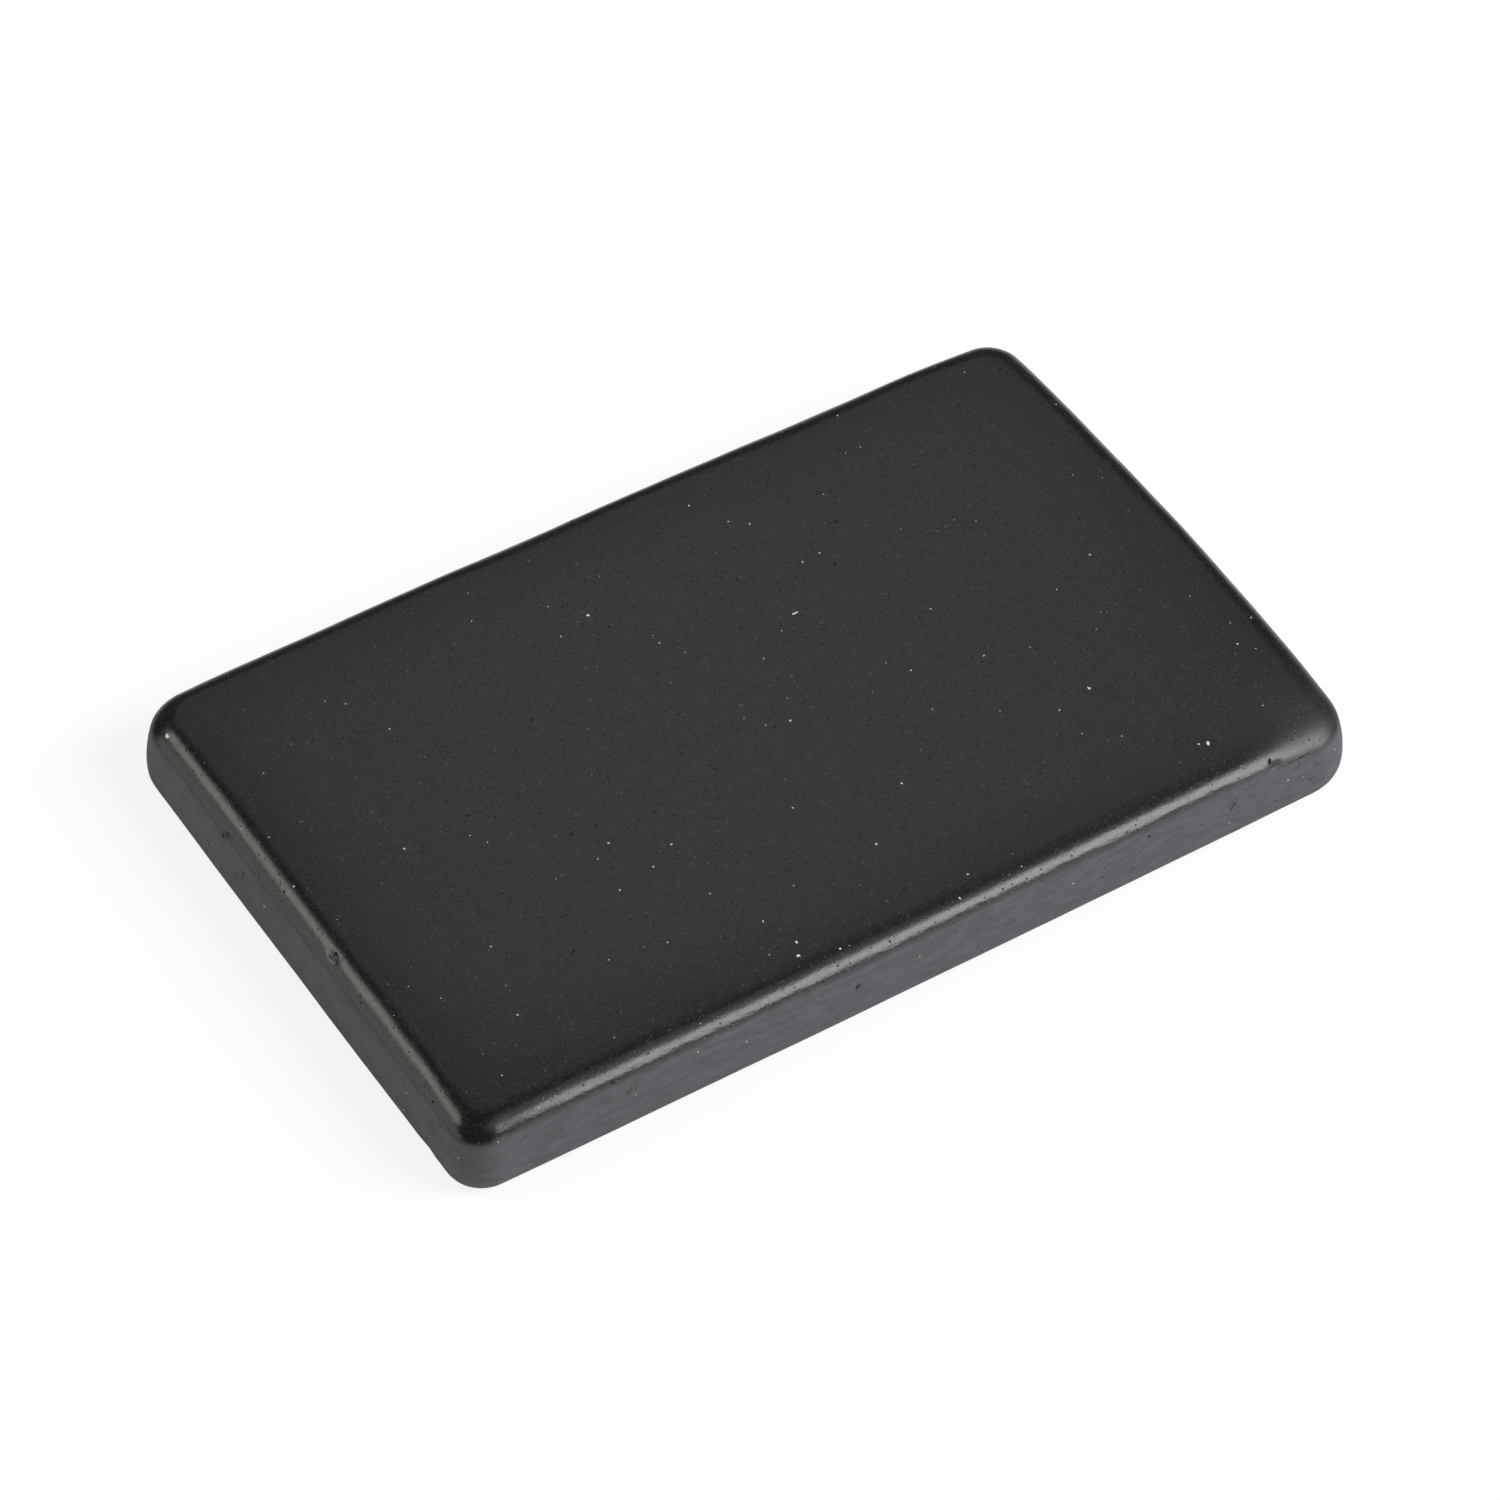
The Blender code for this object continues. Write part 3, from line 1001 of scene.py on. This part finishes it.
def narrowing(fine: np.ndarray, coarse: np.ndarray) -> np.ndarray:
    """Triangles between a ring and the one below it that has half as many points: three to each pair.

    Args:
        fine: Numbers round the ring.
        coarse: Numbers round the coarser ring.

    Returns:
        The triangles, facing out.
    """
    first = fine[::2]
    middle = fine[1::2]
    last = np.roll(first, -1)
    ahead = np.roll(coarse, -1)
    left = np.stack([first, coarse, middle], axis=-1)
    centre = np.stack([middle, coarse, ahead], axis=-1)
    right = np.stack([middle, ahead, last], axis=-1)
    return np.concatenate([left, centre, right])


def grid_ids(rim: np.ndarray, long: int, wide: int, first: int) -> tuple[np.ndarray, int]:
    """Number a grid's points, with the rim's own numbers round its border.

    Args:
        rim: Numbers round the rim, from the front left corner along the front.
        long: Cells along the stone.
        wide: Cells across it.
        first: The first free number.

    Returns:
        The numbers as rows, and the next free number.
    """
    ids = np.zeros((wide + 1, long + 1), dtype=np.int64)
    ids[0] = rim[: long + 1]
    ids[:, -1] = rim[long : long + wide + 1]
    ids[-1] = rim[long + wide : 2 * long + wide + 1][::-1]
    ids[:, 0] = np.concatenate([rim[2 * long + wide :], rim[:1]])[::-1]
    inner = (wide - 1) * (long - 1)
    ids[1:-1, 1:-1] = np.arange(first, first + inner).reshape(wide - 1, long - 1)
    return ids, first + inner


@dataclass(frozen=True)
class Softbox:
    """A flat soft lamp that faces the stone."""

    name: str
    azimuth: float
    elevation: float
    distance: float
    width: float
    height: float
    radiance: float
    colour: str = "ffffff"
    turn: float = 0.0

    def build(self, target: Vector) -> bpy.types.Object:
        """Hang the lamp. Its power is its radiance times pi times its area.

        Args:
            target: The point that it faces.

        Returns:
            The lamp.
        """
        light = bpy.data.lights.new(self.name, "AREA")
        light.shape = "RECTANGLE"
        light.size = self.width
        light.size_y = self.height
        light.energy = self.radiance * math.pi * self.width * self.height
        light.color = linear(self.colour)[:3]
        lamp = bpy.data.objects.new(self.name, light)
        bpy.context.scene.collection.objects.link(lamp)
        place = target + outward(self.azimuth, self.elevation) * self.distance
        facing = (place - target).to_track_quat("Z", "Y").to_matrix().to_4x4()
        facing = facing @ Matrix.Rotation(math.radians(self.turn), 4, "Z")
        lamp.matrix_world = Matrix.Translation(place) @ facing
        return lamp


def outward(azimuth: float, elevation: float) -> Vector:
    """Unit vector of a direction from the stone.

    Args:
        azimuth: Degrees round from -Y, with 90 towards +X.
        elevation: Degrees above the floor.

    Returns:
        The vector.
    """
    a = math.radians(azimuth)
    e = math.radians(elevation)
    return Vector((math.sin(a) * math.cos(e), -math.cos(a) * math.cos(e), math.sin(e)))


@dataclass
class Studio:
    """The pale floor, the soft lamps and the dim room.

    The key lights the right and front, the strips fill the sides, the rim lamp draws the far edges'
    line, and the panels give the upper face something dim to reflect.
    """

    paper: StudioPaper = field(default_factory=StudioPaper)
    softboxes: tuple[Softbox, ...] = (
        Softbox("key_softbox", 48, 36, 1.0, 0.95, 0.4, 7.5, "fbfcff", -32),
        Softbox("low_front_strip", 26, 12, 1.0, 1.3, 0.44, 1.25, "fbfcff"),
        Softbox("rim_softbox", -132, 41, 1.0, 0.6, 0.28, 3.4, "fffaf2"),
        Softbox("low_left_strip", -112, 15, 1.0, 1.0, 0.54, 1.2, "fffaf6"),
        Softbox("back_panel", 140, 40, 1.0, 1.2, 0.5, 0.3),
        Softbox("back_glow", 147, 48, 1.0, 0.26, 0.26, 0.3),
        Softbox("ceiling_panel", 130, 62, 1.0, 0.9, 0.4, 0.25),
        Softbox("front_ceiling_panel", 20, 66, 1.0, 0.6, 0.35, 0.65),
    )
    floor_size: float = 4.0
    room: float = 0.1

    def build(self, target: Vector) -> None:
        """Lay the floor, hang the lamps and set the room's own dim light.

        Args:
            target: The point that the lamps face.
        """
        half = self.floor_size / 2
        mesh = bpy.data.meshes.new("studio_floor")
        corners = [(-half, -half, 0), (half, -half, 0), (half, half, 0), (-half, half, 0)]
        mesh.from_pydata(corners, [], [(0, 1, 2, 3)])
        mesh.materials.append(self.paper.material())
        floor = bpy.data.objects.new("studio_floor", mesh)
        bpy.context.scene.collection.objects.link(floor)
        for softbox in self.softboxes:
            softbox.build(target)
        world = bpy.data.worlds.new("room")
        world.use_nodes = True
        tree = world.node_tree
        seen = add_node(tree, "LightPath", [], "Is Camera Ray")
        dim, pale = (
            add_node(tree, "Background", {"Color": (1, 1, 1, 1), "Strength": strength})
            for strength in (self.room, 1.0)
        )
        mix = add_node(tree, "MixShader", [seen, dim, pale])
        tree.links.new(mix, tree.nodes["World Output"].inputs["Surface"])
        bpy.context.scene.world = world


@dataclass(frozen=True)
class StudioCamera:
    """A long lens that looks down on the stone over its front left corner."""

    azimuth: float = -32.63
    elevation: float = 47.77
    roll: float = 0.79
    distance: float = 0.69
    lens: float = 158.71
    aside: float = 0.1 * MM
    below: float = 1.1 * MM

    def build(self) -> bpy.types.Object:
        """Place the camera, aimed at the middle of the stone and a little beside it.

        Returns:
            The camera.
        """
        low, high = (np.array(corner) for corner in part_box(NODE))
        middle = Vector((low + high) / 2)
        back = outward(self.azimuth, self.elevation)
        turn = back.to_track_quat("Z", "Y").to_matrix()
        turn = turn @ Matrix.Rotation(math.radians(self.roll), 3, "Z")
        right, up = turn.col[0], turn.col[1]
        place = middle + right * self.aside - up * self.below + back * self.distance
        data = bpy.data.cameras.new("studio_camera")
        data.sensor_width = 36.0
        data.lens = self.lens
        camera = bpy.data.objects.new("studio_camera", data)
        bpy.context.scene.collection.objects.link(camera)
        camera.matrix_world = Matrix.Translation(place) @ turn.to_4x4()
        bpy.context.scene.camera = camera
        return camera


def main() -> None:
    """Build the camera, the stone and the studio, and report each piece."""
    logging.basicConfig(level=logging.INFO, format="%(name)s: %(message)s")
    StudioCamera().build()
    stone = MassageStone().build()
    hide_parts(NODE)
    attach(stone, "root")
    log.info("%s: %d faces", stone.name, len(stone.data.polygons))
    Studio().build(Vector((0, 0, 0)))
    bpy.context.scene.view_settings.view_transform = "Standard"


if __name__ == "__main__":
    main()
